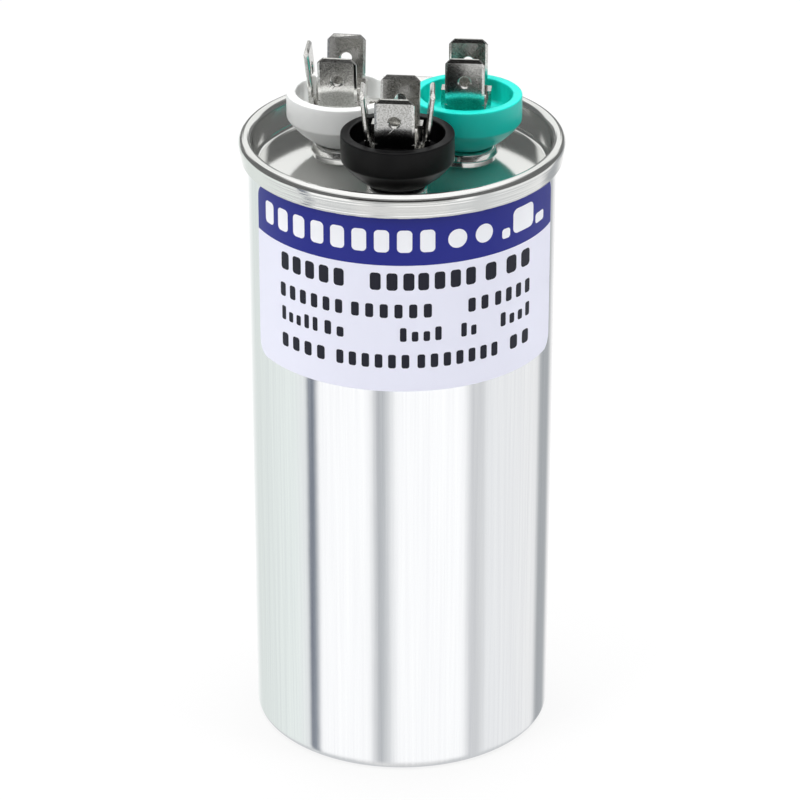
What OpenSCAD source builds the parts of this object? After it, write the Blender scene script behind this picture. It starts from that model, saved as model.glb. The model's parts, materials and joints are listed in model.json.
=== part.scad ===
// Dual motor run capacitor: a round aluminium can with a double-seamed lid, three moulded
// terminal cups with quick-connect tabs, and the two-section film winding inside.
// Millimetres. +Z runs up the can's axis, and the origin is the centre of its flat bottom.

/* [Can] */
// Outside diameter of the can's straight wall
can_d = 50; // [46:0.5:60]
// Height from the flat bottom to the top of the seam
can_h = 105.1; // [80:0.1:140]
// Side wall thickness
can_t = 0.35; // [0.3:0.01:0.45]
// Bottom thickness
can_base_t = 0.8; // [0.5:0.1:1.5]
// Outside radius between bottom and wall
can_foot_r = 1; // [0.6:0.1:2]

/* [Lid] */
// Sheet thickness of the lid
lid_t = 0.3; // [0.25:0.01:0.4]
// Depth of the panel's face below the top of the seam
lid_recess = 5.3; // [4.5:0.1:8]
// Angle by which the chuck wall widens towards the seam
chuck_taper = 5; // [2:0.5:8]
// Inside radius between the panel and the chuck wall
panel_fillet_r = 0.8; // [0.5:0.1:1.5]

/* [Double seam] */
// Length of the seam, top to bottom
seam_h = 4; // [3.6:0.1:5]
// Clearance between neighbouring layers of the seam
seam_gap = 0.05; // [0.03:0.01:0.1]
// How much wider the seam is at its shoulder than its layers need
seam_swell = 0.4; // [0.3:0.05:0.6]
// Gap between the can's wall and the hook of the lid
hook_gap = 0.12; // [0.08:0.01:0.2]
// How far the rollers press the can's wall in at the foot of its flange
seam_press = 0.02; // [0.01:0.005:0.05]

/* [Label] */
// Angle of the can that the label covers
label_angle = 140; // [60:1:300]
// Angle from the front to the label's middle
label_turn = 3; // [-30:1:30]
// Height of the label's lower edge above the bottom
label_z = 70.8; // [30:0.1:75]
// Height of the label
label_h = 30; // [15:0.5:30]
// Thickness of the film
label_t = 0.06; // [0.03:0.01:0.08]
// Corner radius of the label
label_r = 2.5; // [1:0.1:4]

/* [Terminal places] */
// Radius of the circle through the three terminals
pitch_r = 11.7; // [11:0.1:13]
// Turn of the three terminals about the can's axis
pitch_turn = -3.5; // [-20:0.5:20]
// Height of the drawn neck above the panel
neck_h = 1.35; // [1:0.05:2]
// Radius of the flat on top of the neck
neck_r = 4.3; // [4.1:0.1:4.8]
// Radius of the hole through the neck
neck_hole_r = 3.45; // [3.2:0.05:3.6]

/* [Terminal cups] */
// Outside diameter of the cup
cup_d = 18.2; // [17.5:0.1:19]
// Thickness of the cup's wall
cup_t = 1.55; // [1.2:0.05:2]
// Height of the cup from its foot to its lip
cup_h = 8.85; // [8:0.05:10]
// Height of the cup's straight outside wall
cup_wall_h = 4.3; // [3:0.1:5]
// Depth from the lip to the seat in the middle of the cup
cup_depth = 2.8; // [2:0.1:3.5]
// Depth of the moat between the seat and the cup's wall, below the seat
moat_depth = 1; // [0.4:0.1:1.5]
// Radius of the seat
seat_r = 5.2; // [4.6:0.1:5.8]
// Radius of the cup's foot
cup_foot_r = 3.9; // [3.7:0.1:4.2]
// How much the cone below the wall swells outwards
cup_bulge = 0.45; // [0:0.05:0.8]

/* [Tabs] */
// Width of a tab
tab_w = 6.35; // [6.2:0.05:6.4]
// Sheet thickness of the tabs
tab_t = 0.8; // [0.7:0.05:0.9]
// Height of the tabs' tops above the cup's floor
tab_h = 10.4; // [9:0.1:12]
// Diameter of the detent hole
tab_hole_d = 1.8; // [1.5:0.1:2]
// Distance from the tab's top to the hole's centre
tab_hole_drop = 3.9; // [3:0.05:5]
// Size of the cut across each top corner
tab_corner = 0.95; // [0.5:0.05:1.4]
// Width of the coined bevel along the tab's edges
tab_bevel = 0.4; // [0.2:0.05:0.6]
// Distance from the terminal's middle to the middle of a front or back tab
fork_reach = 4.35; // [3.9:0.05:4.6]
// Outward lean of the white, black and green terminals' front and back tabs
fork_lean = [8.5, 6.5, 1.5];
// Turn of each of these three terminals' forks about its own axis
fork_turn = [-7.8, -5.4, -4.6];
// Outward lean of the side tabs
side_lean = 6; // [0:0.5:8]
// Turn of the white and black terminals' side strips
side_turn = [-4.6, -0.5];
// Height of the short ears on the fork
ear_h = 3.7; // [2:0.1:5]
// Width of the short ears
ear_w = 2.4; // [1.5:0.1:4]
// Inside radius of the bends
bend_r = 0.4; // [0.3:0.05:0.6]

/* [Rivets and seals] */
// Radius of the rivet's shank
rivet_r = 1.6; // [1.3:0.05:1.8]
// Radius of the rivet's head
rivet_head_r = 2.8; // [2.4:0.1:3]
// Height of the rivet's head
rivet_head_h = 0.9; // [0.5:0.1:1.2]
// Radius of the rivet's clinched end
rivet_tail_r = 2.6; // [2.3:0.1:2.8]
// Radial clearance between the rivet and what it passes through
rivet_gap = 0.05; // [0.03:0.01:0.15]
// Thickness of the insulating washer under the lid
washer_t = 1; // [0.6:0.1:1.5]
// Outside radius of the insulating washer
washer_r = 5.4; // [4.8:0.1:5.6]
// Sheet thickness of the solder lugs
lug_t = 0.5; // [0.3:0.05:0.8]

/* [Winding] */
// Room between the outer winding and the can's wall, for the wrap and the bottom cup
winding_room = 1.65; // [1.5:0.05:3]
// Outside radius of the inner winding
fan_r = 11.4; // [8:0.1:14]
// Room between the winding's upper end and the lid's panel, for the disc, lugs and leads
head_room = 13.2; // [12:0.1:20]
// Outside radius of the core tube
core_r = 4; // [3.6:0.1:5]
// Wall of the core tube
core_t = 0.9; // [0.6:0.1:1.2]
// Thickness of the sprayed zinc on the winding's ends
spray_t = 0.6; // [0.3:0.1:1]
// Thickness of the plain film sleeves
film_t = 0.35; // [0.2:0.05:0.4]
// Radius of a lead with its insulation
lead_r = 0.9; // [0.6:0.05:1]
// Thickness of the bottom cup's floor
tray_t = 1; // [0.6:0.1:1.2]
// Height of the bottom cup's wall
tray_h = 10; // [6:0.5:20]
// Thickness of the bottom cup's wall
tray_wall_t = 0.6; // [0.4:0.05:0.7]
// Length of the common lead on the winding's lower end, from the core tube outwards
common_reach = 6; // [3:0.5:12]
// Thickness of the interrupter disc
disc_t = 1.2; // [0.8:0.1:2]
// Height of the interrupter disc's underside above the windings
disc_stand = 5; // [3:0.1:6]
// Width of the disc's standing rim
disc_rim = 1; // [0.6:0.1:2]

/* [Hidden] */
$fn = 72;

can_r = can_d / 2;
seat = 0.02;                    // clearance where one flat face rests on another
slip = 0.05;                    // clearance round pieces that slide into each other

// Double seam, by the middle lines of its sheets. The lid's arch spans two layers of the can
// and one of its own; its curl spans one layer of the can.
arch_r = lid_t + can_t + 2 * seam_gap + seam_swell / 2;
gripped_mid_r = can_r - seam_press - can_t / 2;
grip_lean = 2;                  // the gripped wall widens upwards, after the chuck wall it lies on
arch_c = [gripped_mid_r - (can_t + lid_t) / 2 - seam_gap + arch_r, can_h - arch_r - lid_t / 2];
hook_r = can_r + hook_gap + lid_t / 2;
curl_r = (can_t + lid_t + seam_gap) / 2;
curl_c = [hook_r + curl_r, can_h - seam_h + curl_r + lid_t / 2];
flange_r = arch_r - (lid_t + can_t) / 2 - 0.115;
flange_c = [gripped_mid_r + flange_r, arch_c[1] - 0.04];
body_hook_tip = [hook_r + (lid_t + can_t) / 2 + 0.08, curl_c[1] + 0.5];
cover_hook_top = arch_c[1] - 0.84;
cover_hook_lean = 2;

panel_z = can_h - lid_recess;
panel_mid = panel_z - lid_t / 2;
panel_under = panel_z - lid_t;

// Terminals: one row each for white, black and green.
WHITE = 0;
BLACK = 1;
GREEN = 2;
terminal_angle = [for (a = [150, -90, 30]) a + pitch_turn];
cup_colour = ["whitesmoke", "#1c1c1d", "#14ae9f"];

// Heights in a terminal's stack, from the neck up and down.
neck_z = panel_z + neck_h;
foot_z = neck_z + seat;
lip_z = foot_z + cup_h;
floor_z = lip_z - cup_depth;
tab_z = floor_z + seat;
neck_wall_r = 0.45;             // middle radius of the neck's shoulder
neck_foot_r = 0.3;              // middle radius of the fillet at the neck's foot
neck_slope = 80;                // steepness of the neck's side
neck_reach = neck_r + 1.6;      // radius at which the neck's pressing ends
cup_r = cup_d / 2;
shank_hole_r = rivet_r + rivet_gap;
spigot_r = neck_hole_r - 0.15;
gasket_top = neck_z - lid_t - seat;
washer_top = panel_under - slip;
lug_top = washer_top - washer_t - seat;
lug_tail = 5;                   // distance from the rivet to the lead
tail_top = lug_top - lug_t - seat;
rivet_tail_h = 0.8;

// Tab forks: the side strip lies on the cup's floor, and the fork lies on it.
fork_mid_r = bend_r + tab_t / 2;
ear_reach = tab_w / 2 + 0.475;  // to the middle of an ear
side_reach = ear_reach + tab_t + 0.2;
tongue_reach = 6.1;

// Winding, from the bottom up.
tray_top = can_base_t + seat + tray_t;
element_z = tray_top + 2 * lead_r + 2 * slip;
winding_z = element_z + spray_t;
element_top = panel_under - head_room;
winding_top = element_top - spray_t;
winding_h = winding_top - winding_z;
winding_r = can_r - can_t - winding_room;
disc_z = element_top + disc_stand;
lead_bend = 2;
common_z = disc_z + disc_t + 3; // height at which the common lead crosses to the axis
compressor_lead_r = pitch_r + lug_tail;
fan_lead_r = pitch_r - lug_tail;

// Points of an arc, centre c, from angle a0 to a1, both ends kept.
function arc(c, r, a0, a1, n = 8) =
    [for (i = [0:n]) let (a = a0 + (a1 - a0) * i / n) c + r * [cos(a), sin(a)]];

// The line that touches two circles on their outer side leaves both at this angle.
function tangent_angle(c1, r1, c2, r2) =
    let (v = c1 - c2) asin((r2 - r1) / norm(v)) - atan2(v[0], v[1]);

function unit(v) = v / norm(v);
function left(v) = [-v[1], v[0]];
function reversed(p) = [for (i = [len(p) - 1:-1:0]) p[i]];

// A path moved sideways by d, to its left where d is above zero.
function beside(path, d) = [
    for (i = [0:len(path) - 1])
        let (
            a = left(unit(i == 0 ? path[1] - path[0] : path[i] - path[i - 1])),
            b = i == len(path) - 1 ? a : left(unit(path[i + 1] - path[i])),
            n = unit(a + b)
        )
        path[i] + n * d / (n * a)
];

// The section of a bent sheet of thickness t along its middle line.
module sheet(path, t) {
    polygon(concat(beside(path, t / 2), reversed(beside(path, -t / 2))));
}

module ring(r_in, r_out, z, h) {
    translate([0, 0, z])
        difference() {
            cylinder(r = r_out, h = h);
            translate([0, 0, -1]) cylinder(r = r_in, h = h + 2);
        }
}

// Puts a child made at the origin on one of the three terminals.
module at_terminal(i, turn = 0) {
    rotate(terminal_angle[i]) translate([pitch_r, 0, 0]) rotate(turn - terminal_angle[i]) children();
}

// ---- Can and lid ----

module can() {
    hook_angle = tangent_angle(flange_c, flange_r, body_hook_tip, 0);
    mid_r = can_r - can_t / 2;
    seam_foot = can_h - seam_h;
    grip_z = seam_foot + 0.3;
    wall = concat(
        [
            [mid_r, can_foot_r + can_base_t],
            [mid_r, seam_foot - 0.1],
            [gripped_mid_r - (flange_c[1] - grip_z) * tan(grip_lean), grip_z]
        ],
        arc(flange_c, flange_r, 180, hook_angle, 14),
        [body_hook_tip]
    );
    inner_r = max(can_foot_r - can_t, 0.1);
    color("#c9ccd0")
        rotate_extrude()
            polygon(concat(
                [[0, 0]],
                arc([can_r - can_foot_r, can_foot_r], can_foot_r, -90, 0),
                beside(wall, -can_t / 2),
                reversed(beside(wall, can_t / 2)),
                arc([can_r - can_t - inner_r, can_base_t + inner_r], inner_r, 0, -90, 5),
                [[0, can_base_t]]
            ));
}

// Middle line of the lid's sheet: panel, chuck wall, arch, outer wall, curl and hook.
function lid_path() =
    let (
        fillet = panel_fillet_r + lid_t / 2,
        arch_start = arch_c + arch_r * [-cos(chuck_taper), sin(chuck_taper)],
        rise = arch_start[1] - panel_mid - fillet * (1 - sin(chuck_taper)),
        fillet_c = [
            arch_start[0] - rise * tan(chuck_taper) - fillet * cos(chuck_taper),
            panel_mid + fillet
        ],
        lean = tangent_angle(arch_c, arch_r, curl_c, curl_r),
        hook_foot = curl_c - [curl_r, 0],
        hook_len = cover_hook_top - curl_c[1]
    )
    concat(
        [[0, panel_mid]],
        arc(fillet_c, fillet, -90, -chuck_taper, 7),
        arc(arch_c, arch_r, 180 - chuck_taper, lean, 16),
        arc(curl_c, curl_r, lean, -180, 14),
        [hook_foot + hook_len * [tan(cover_hook_lean), 1]]
    );

// One drawn neck and the ring of panel round it.
module neck() {
    top_c = [neck_r, panel_mid + neck_h - neck_wall_r];
    start = top_c + neck_wall_r * [sin(neck_slope), cos(neck_slope)];
    drop = start[1] - panel_mid - neck_foot_r * (1 - cos(neck_slope));
    foot_c = [start[0] + drop / tan(neck_slope) + neck_foot_r * sin(neck_slope), panel_mid + neck_foot_r];
    rotate_extrude()
        sheet(concat(
            [[neck_hole_r, panel_mid + neck_h]],
            arc(top_c, neck_wall_r, 90, 90 - neck_slope, 6),
            arc(foot_c, neck_foot_r, 270 - neck_slope, 270, 5),
            [[neck_reach, panel_mid]]
        ), lid_t);
}

module lid() {
    color("#d5d7d9") {
        difference() {
            rotate_extrude() sheet(lid_path(), lid_t);
            for (i = [WHITE, BLACK, GREEN])
                at_terminal(i)
                    translate([0, 0, panel_under - 1]) cylinder(r = neck_reach - 0.05, h = lid_t + 2);
        }
        for (i = [WHITE, BLACK, GREEN]) at_terminal(i) neck();
    }
}

// Compound between the can's flange and the lid's arch.
module seam_seal() {
    skin = 0.015;
    color("dimgray")
        rotate_extrude()
            intersection() {
                difference() {
                    translate(arch_c) circle(arch_r - lid_t / 2 - skin);
                    translate(flange_c) circle(flange_r + can_t / 2 + skin);
                }
                translate([flange_c[0] - arch_r, flange_c[1] + 0.3]) square([2 * arch_r, arch_r]);
            }
}

// A piece of a thin tube between two angles from the front.
module tube_sector(r, t, z, h, from, to) {
    translate([0, 0, z])
        rotate(from - 90)
            rotate_extrude(angle = to - from) translate([r, 0]) square([t, h]);
}

module label() {
    r = can_r + 0.01;
    corner = asin(label_r / r);
    round_r = 1.03 * label_r;   // crosses the label's edges, where label_r would only touch them
    from = label_turn - label_angle / 2;
    to = label_turn + label_angle / 2;
    color("#e6e8f4")
        difference() {
            tube_sector(r, label_t, label_z, label_h, from, to);
            for (a = [from, to], z = [label_z, label_z + label_h])
                let (
                    ax = a == from ? a + corner : a - corner,
                    az = z == label_z ? z + label_r : z - label_r
                )
                difference() {
                    tube_sector(r - 1, label_t + 2, z - (z == label_z ? 1 : label_r), label_r + 1,
                        a == from ? a - 1 : ax, a == from ? ax : a + 1);
                    translate([0, 0, az])
                        rotate(ax - 90) rotate([0, 90, 0]) cylinder(r = round_r, h = r + 5);
                }
        }
}

// ---- Terminals ----

module bushing(i) {
    wall_z = lip_z - cup_wall_h;
    cone_from = [cup_foot_r, foot_z];
    cone_to = [cup_r, wall_z];
    cone_out = unit(-left(cone_to - cone_from));
    cone_steps = 8;
    cone = [
        for (k = [0:cone_steps - 1])
            let (s = k / cone_steps)
            cone_from + (cone_to - cone_from) * s + cone_out * cup_bulge * 4 * s * (1 - s)
    ];
    // the rounded edge between the cone and the wall touches both
    cone_end = atan2(cone_to[1] - cone_from[1], cup_r - cup_foot_r) + atan(4 * cup_bulge / norm(cone_to - cone_from));
    edge_angle = 90 - cone_end;
    edge_r = 0.6;
    lip_r = 0.25;
    inner_r = cup_r - cup_t;
    floor_r = 0.5;
    moat_z = floor_z - moat_depth;
    color(cup_colour[i])
        at_terminal(i)
            rotate_extrude()
                polygon(concat(
                    [[shank_hole_r, foot_z - 1.2], [spigot_r, foot_z - 1.2], [spigot_r, foot_z]],
                    cone,
                    arc([cup_r - edge_r, wall_z + edge_r * tan(edge_angle / 2)], edge_r, -edge_angle, 0, 4),
                    arc([cup_r - lip_r, lip_z - lip_r], lip_r, 0, 90, 4),
                    arc([inner_r + lip_r, lip_z - lip_r], lip_r, 90, 180, 4),
                    arc([inner_r - floor_r, moat_z + floor_r], floor_r, 0, -90, 5),
                    [[seat_r + 0.2, moat_z], [seat_r, floor_z], [shank_hole_r, floor_z]]
                ));
}

// Half of a fork's middle line: out along the base, round the bend and up to height h.
function prong(reach, lean, h) =
    let (
        c = [reach - fork_mid_r, fork_mid_r],
        from = c + fork_mid_r * [cos(lean), -sin(lean)],
        up = h - from[1]
    )
    concat(arc(c, fork_mid_r, -90, -lean, 6), [from + up * [tan(lean), 1]]);

// What is cut from a tab to give its corners, bevels and detent hole. The tab's face lies in
// the XZ plane, with the middle of its top edge at the origin.
module tab_cuts() {
    w = tab_w / 2;
    t = tab_t / 2;
    deep = 0.22;                // how far a bevel cuts into the face
    top_bevel = 1.5 * tab_bevel;
    tilt = atan2(deep, tab_bevel);
    long = tab_h - 2.6;
    for (s = [-1, 1]) {
        translate([s * w, 0, 0]) rotate([0, 45, 0]) cube([tab_corner * sqrt(2), 3, tab_corner * sqrt(2)], center = true);
        for (f = [-1, 1])
            translate([s * (w - tab_bevel), f * t, -long])
                rotate(f * s * -tilt)
                    translate([s > 0 ? 0 : -2, f > 0 ? 0 : -1, 0]) cube([2, 1, long + 1]);
        translate([0, s * t, -top_bevel])
            rotate([s * atan2(deep, top_bevel), 0, 0])
                translate([-w - 1, s > 0 ? 0 : -1, 0]) cube([tab_w + 2, 1, 2]);
    }
    translate([0, 0, -tab_hole_drop]) {
        rotate([90, 0, 0]) cylinder(d = tab_hole_d, h = 3, center = true);
        for (s = [-1, 1])
            translate([0, s * (t - 0.2), 0])
                rotate([-s * 90, 0, 0]) cylinder(r1 = tab_hole_d / 2, r2 = tab_hole_d / 2 + 0.3, h = 0.3);
    }
}

// Puts tab_cuts() on the prong that stands on the +Y side.
module cut_prong(reach, lean, h) {
    top = prong(reach, lean, h);
    end = top[len(top) - 1];
    translate([0, end[0], end[1]]) rotate([-lean, 0, 0]) tab_cuts();
}

// A strip w wide bent up into a prong at each listed side, with its base's underside at z = 0.
module bent_strip(w, reach, lean, h, sides) {
    translate([0, 0, tab_t / 2])
        difference() {
            for (s = sides)
                rotate(s > 0 ? 0 : 180)
                    translate([w / 2, 0, 0])
                        rotate([90, 0, -90])
                            mirror([1, 0, 0])
                                linear_extrude(w) sheet(concat([[0, 0]], prong(reach, lean, h - tab_t / 2)), tab_t);
            if (h > ear_h)
                for (s = sides) rotate(s > 0 ? 0 : 180) cut_prong(reach, lean, h - tab_t / 2);
        }
}

module fork(i) {
    base = i == GREEN ? tab_z : tab_z + tab_t + seat;
    h = tab_h - (base - floor_z);
    color("silver")
        at_terminal(i, fork_turn[i])
            translate([0, 0, base])
                difference() {
                    union() {
                        bent_strip(tab_w, fork_reach, fork_lean[i], h, [-1, 1]);
                        rotate(90) bent_strip(ear_w, ear_reach, 0, ear_h, [-1, 1]);
                    }
                    translate([0, 0, -1]) cylinder(r = shank_hole_r, h = 3);
                }
}

// The strip under the fork: a tab on each listed side, and a flat tongue on the other.
module side_strip(i, sides) {
    color("silver")
        at_terminal(i, side_turn[i])
            translate([0, 0, tab_z])
                difference() {
                    union() {
                        rotate(90) bent_strip(tab_w, side_reach, side_lean, tab_h - seat, sides);
                        if (len(sides) == 1)
                            translate([-0.5, -2, 0]) cube([tongue_reach + 0.5, 4, tab_t]);
                    }
                    translate([0, 0, -1]) cylinder(r = shank_hole_r, h = 3);
                    if (len(sides) == 1)
                        translate([tongue_reach - 1.1, 0, -1]) cylinder(r = 0.55, h = 3);
                }
}

module rivet(i) {
    plates = i == GREEN ? 1 : 2;
    head_z = tab_z + plates * (tab_t + seat);
    color("lightgray")
        at_terminal(i)
            rotate_extrude()
                polygon(concat(
                    [[0, tail_top - rivet_tail_h], [rivet_tail_r - 0.4, tail_top - rivet_tail_h]],
                    [[rivet_tail_r, tail_top - 0.3], [rivet_tail_r, tail_top], [rivet_r, tail_top]],
                    [[rivet_r, head_z], [rivet_head_r, head_z]],
                    arc([rivet_head_r - 0.5, head_z + rivet_head_h - 0.5], 0.5, 0, 90, 5),
                    [[0, head_z + rivet_head_h]]
                ));
}

module gasket(i) {
    color("#333333") at_terminal(i)
        ring(spigot_r + slip, neck_r, washer_top + seat, gasket_top - washer_top - seat);
}

module washer(i) {
    color("#7a4a2a") at_terminal(i) ring(shank_hole_r, washer_r, washer_top - washer_t, washer_t);
}

// The lug's tail points away from the can's axis for the compressor's lead, and to it otherwise.
module solder_lug(i) {
    out = i == WHITE ? 0 : 180;
    color("#c8a860")
        at_terminal(i, terminal_angle[i] + out)
            translate([0, 0, lug_top - lug_t])
                difference() {
                    union() {
                        cylinder(r = rivet_tail_r + 0.6, h = lug_t);
                        translate([0, -1.5, 0]) cube([lug_tail, 3, lug_t]);
                        translate([lug_tail, 0, 0]) cylinder(r = 1.5, h = lug_t);
                    }
                    translate([0, 0, -1]) cylinder(r = shank_hole_r, h = lug_t + 2);
                }
}

// ---- Inside the can ----

module interrupter_disc() {
    stand_r = winding_r - 0.3;
    lead_hole_r = lead_r + 0.5;
    color("#b58a55")
        difference() {
            union() {
                translate([0, 0, disc_z]) cylinder(r = can_r - can_t - 0.25, h = disc_t);
                ring(stand_r - disc_rim, stand_r, element_top + seat, disc_stand + disc_t / 2);
            }
            for (p = [[0, 0], [compressor_lead_r, terminal_angle[WHITE]], [fan_lead_r, terminal_angle[GREEN]]])
                rotate(p[1]) translate([p[0], 0, disc_z - 1]) cylinder(r = lead_hole_r, h = disc_t + 2);
        }
}

module core_tube() {
    color("ivory") ring(core_r - core_t, core_r, element_z, element_top - element_z);
}

module fan_winding() {
    color("#d8dde0") ring(core_r + slip, fan_r, winding_z, winding_h);
}

module section_barrier() {
    color("#e8ead8") ring(fan_r + slip, fan_r + slip + film_t, winding_z, winding_h + spray_t);
}

module compressor_winding() {
    color("#cfd5d9") ring(fan_r + 2 * slip + film_t, winding_r, winding_z, winding_h);
}

module end_spray_fan() {
    color("#8f9499") ring(core_r + slip, fan_r, winding_top, spray_t);
}

module end_spray_compressor() {
    color("#8f9499") ring(fan_r + 2 * slip + film_t, winding_r, winding_top, spray_t);
}

module end_spray_common() {
    color("#8f9499") ring(core_r + slip, winding_r, element_z, spray_t);
}

module outer_wrap() {
    color("#e9e4c8") ring(winding_r + slip, winding_r + slip + film_t, element_z, element_top - element_z);
}

module bottom_cup() {
    outer = can_r - can_t - 0.15;
    wall_z = can_base_t + can_foot_r;
    floor_r = can_r - can_t - max(can_foot_r - can_t, 0.1) - 0.1;
    color("#efe9da") {
        translate([0, 0, can_base_t + seat]) cylinder(r = floor_r, h = tray_t);
        ring(outer - tray_wall_t, outer, wall_z, tray_h);
        ring(floor_r - 2 * tray_wall_t, outer, wall_z, tray_wall_t);
    }
}

// A straight length of lead, from z up by h, at distance x from the axis.
module lead_run(x, z, h) {
    translate([x, 0, z]) cylinder(r = lead_r, h = h);
}

// A quarter bend in the XZ plane about a centre, from angle a over 90 degrees.
module lead_elbow(x, z, a) {
    translate([x, 0, z]) rotate([90, 0, 0]) rotate(a) rotate_extrude(angle = 90) translate([lead_bend, 0]) circle(lead_r);
}

module lead_level(x0, x1, z) {
    translate([x0, 0, z]) rotate([0, 90, 0]) cylinder(r = lead_r, h = x1 - x0);
}

// Common lead: in from its lug to the axis, down the core tube and out under the winding.
module lead_common() {
    low_z = element_z - slip - lead_r;
    drop_x = pitch_r - lug_tail;
    color("#2b2b2b")
        rotate(terminal_angle[BLACK]) {
            lead_run(drop_x, common_z + lead_bend, lug_top - lug_t - seat - common_z - lead_bend);
            lead_elbow(drop_x - lead_bend, common_z + lead_bend, -90);
            lead_level(lead_bend, drop_x - lead_bend, common_z);
            lead_elbow(lead_bend, common_z - lead_bend, 90);
            lead_run(0, low_z + lead_bend, common_z - low_z - 2 * lead_bend);
            lead_elbow(lead_bend, low_z + lead_bend, 180);
            lead_level(lead_bend, core_r + common_reach, low_z);
        }
}

module lead_down(i, x) {
    rotate(terminal_angle[i]) lead_run(x, element_top + seat, lug_top - lug_t - 2 * seat - element_top);
}

module lead_fan() {
    color("#1f8f6f") lead_down(GREEN, fan_lead_r);
}

module lead_compressor() {
    color("#e0e0dc") lead_down(WHITE, compressor_lead_r);
}

can();
lid();
seam_seal();
label();
bushing(WHITE);  // bushing_white
bushing(BLACK);  // bushing_black
bushing(GREEN);  // bushing_green
fork(WHITE);  // fork_white
fork(BLACK);  // fork_black
fork(GREEN);  // fork_green
side_strip(WHITE, [1]);  // side_tab_white
side_strip(BLACK, [-1, 1]);  // side_fork_black
rivet(WHITE);  // rivet_white
rivet(BLACK);  // rivet_black
rivet(GREEN);  // rivet_green
gasket(WHITE);  // gasket_white
gasket(BLACK);  // gasket_black
gasket(GREEN);  // gasket_green
washer(WHITE);  // washer_white
washer(BLACK);  // washer_black
washer(GREEN);  // washer_green
solder_lug(WHITE);  // solder_lug_white
solder_lug(BLACK);  // solder_lug_black
solder_lug(GREEN);  // solder_lug_green
interrupter_disc();
core_tube();
fan_winding();
section_barrier();
compressor_winding();
end_spray_fan();
end_spray_compressor();
end_spray_common();
outer_wrap();
bottom_cup();
lead_common();
lead_fan();
lead_compressor();
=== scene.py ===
"""Motor run capacitor: fine meshes, finishes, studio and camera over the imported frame.

Sections, outlines and sizes are in millimetres and become metres in the meshes.
"""
import json
import logging
import math
from dataclasses import dataclass, field
from enum import Enum
from typing import Any, Iterable, Sequence

import bmesh
import bpy
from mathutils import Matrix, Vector

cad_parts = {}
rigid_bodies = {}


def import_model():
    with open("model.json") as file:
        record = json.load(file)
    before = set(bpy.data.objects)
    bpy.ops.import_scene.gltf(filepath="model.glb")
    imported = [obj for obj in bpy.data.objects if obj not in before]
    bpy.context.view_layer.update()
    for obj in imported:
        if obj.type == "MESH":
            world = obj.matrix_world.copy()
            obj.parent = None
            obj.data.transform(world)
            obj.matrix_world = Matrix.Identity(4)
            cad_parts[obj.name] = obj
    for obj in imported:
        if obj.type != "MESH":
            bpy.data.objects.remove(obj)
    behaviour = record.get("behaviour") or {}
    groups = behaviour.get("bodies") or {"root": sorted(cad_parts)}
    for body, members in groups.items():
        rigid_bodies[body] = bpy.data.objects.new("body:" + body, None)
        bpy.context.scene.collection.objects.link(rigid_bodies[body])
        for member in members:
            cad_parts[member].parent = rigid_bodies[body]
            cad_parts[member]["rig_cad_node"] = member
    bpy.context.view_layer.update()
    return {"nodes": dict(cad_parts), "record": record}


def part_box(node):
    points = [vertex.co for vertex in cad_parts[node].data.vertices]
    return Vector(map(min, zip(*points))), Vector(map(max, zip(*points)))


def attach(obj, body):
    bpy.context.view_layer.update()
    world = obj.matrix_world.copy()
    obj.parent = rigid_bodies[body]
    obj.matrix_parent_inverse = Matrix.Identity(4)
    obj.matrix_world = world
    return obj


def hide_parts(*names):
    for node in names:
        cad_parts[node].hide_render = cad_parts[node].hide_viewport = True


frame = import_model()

MM = 0.001
MERGE = 1e-7  # metres, vertices nearer than this become one
LEVEL = 1e-6  # metres, heights nearer than this count as the same
BODY = "root"
Point = tuple[float, float]
log = logging.getLogger("capacitor")


# ---------------------------------------------------------------- frame sizes


def node_box(name: str) -> tuple[Vector, Vector]:
    """A CAD node's lowest and highest corners, in millimetres."""
    low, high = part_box(name)
    return low / MM, high / MM


def node_middle(name: str) -> Vector:
    """The middle of a CAD node's box, in millimetres."""
    low, high = node_box(name)
    return (low + high) / 2


def mount_radius(name: str) -> float:
    """The stated radius of a round mount, in millimetres."""
    mounts = {mount["name"]: mount for mount in frame["record"]["mounts"]}
    return mounts[name]["dims"]["r_mm"]


class Terminal(Enum):
    """The three terminals by the colour of their cups."""

    WHITE = "white"
    BLACK = "black"
    GREEN = "green"

    @property
    def centre(self) -> Vector:
        """The terminal's axis in plan, in millimetres."""
        middle = node_middle(f"bushing_{self.value}")
        return Vector((middle.x, middle.y, 0.0))


# ---------------------------------------------------------------- sections


def arc(centre: Point, radius: float, start: float, stop: float, steps: int) -> list[Point]:
    """Points of an arc, both ends kept.

    Args:
        centre: The arc's centre.
        radius: Its radius.
        start: First angle in degrees.
        stop: Last angle in degrees.
        steps: Number of equal steps between them.

    Returns:
        The points in order.
    """
    angles = [math.radians(start + (stop - start) * step / steps) for step in range(steps + 1)]
    return [(centre[0] + radius * math.cos(a), centre[1] + radius * math.sin(a)) for a in angles]


def beside(path: Sequence[Point], distance: float) -> list[Point]:
    """A path moved sideways, to its left where the distance is above zero.

    Args:
        path: The path's points.
        distance: How far to move it.

    Returns:
        As many points as the path has.
    """
    points = [Vector(point) for point in path]
    ways = [(b - a).normalized() for a, b in zip(points, points[1:])]
    moved = []
    for index, point in enumerate(points):
        before = ways[max(index - 1, 0)].orthogonal()
        after = ways[min(index, len(ways) - 1)].orthogonal()
        side = (before + after).normalized()
        moved.append(tuple(point + side * distance / side.dot(before)))
    return moved


def tangent_angle(first: Point, first_r: float, second: Point, second_r: float) -> float:
    """The angle in degrees at which the outer line that touches two circles leaves both."""
    way = Vector(first) - Vector(second)
    return math.degrees(math.asin((second_r - first_r) / way.length) - math.atan2(way.x, way.y))


# ---------------------------------------------------------------- meshes


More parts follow.
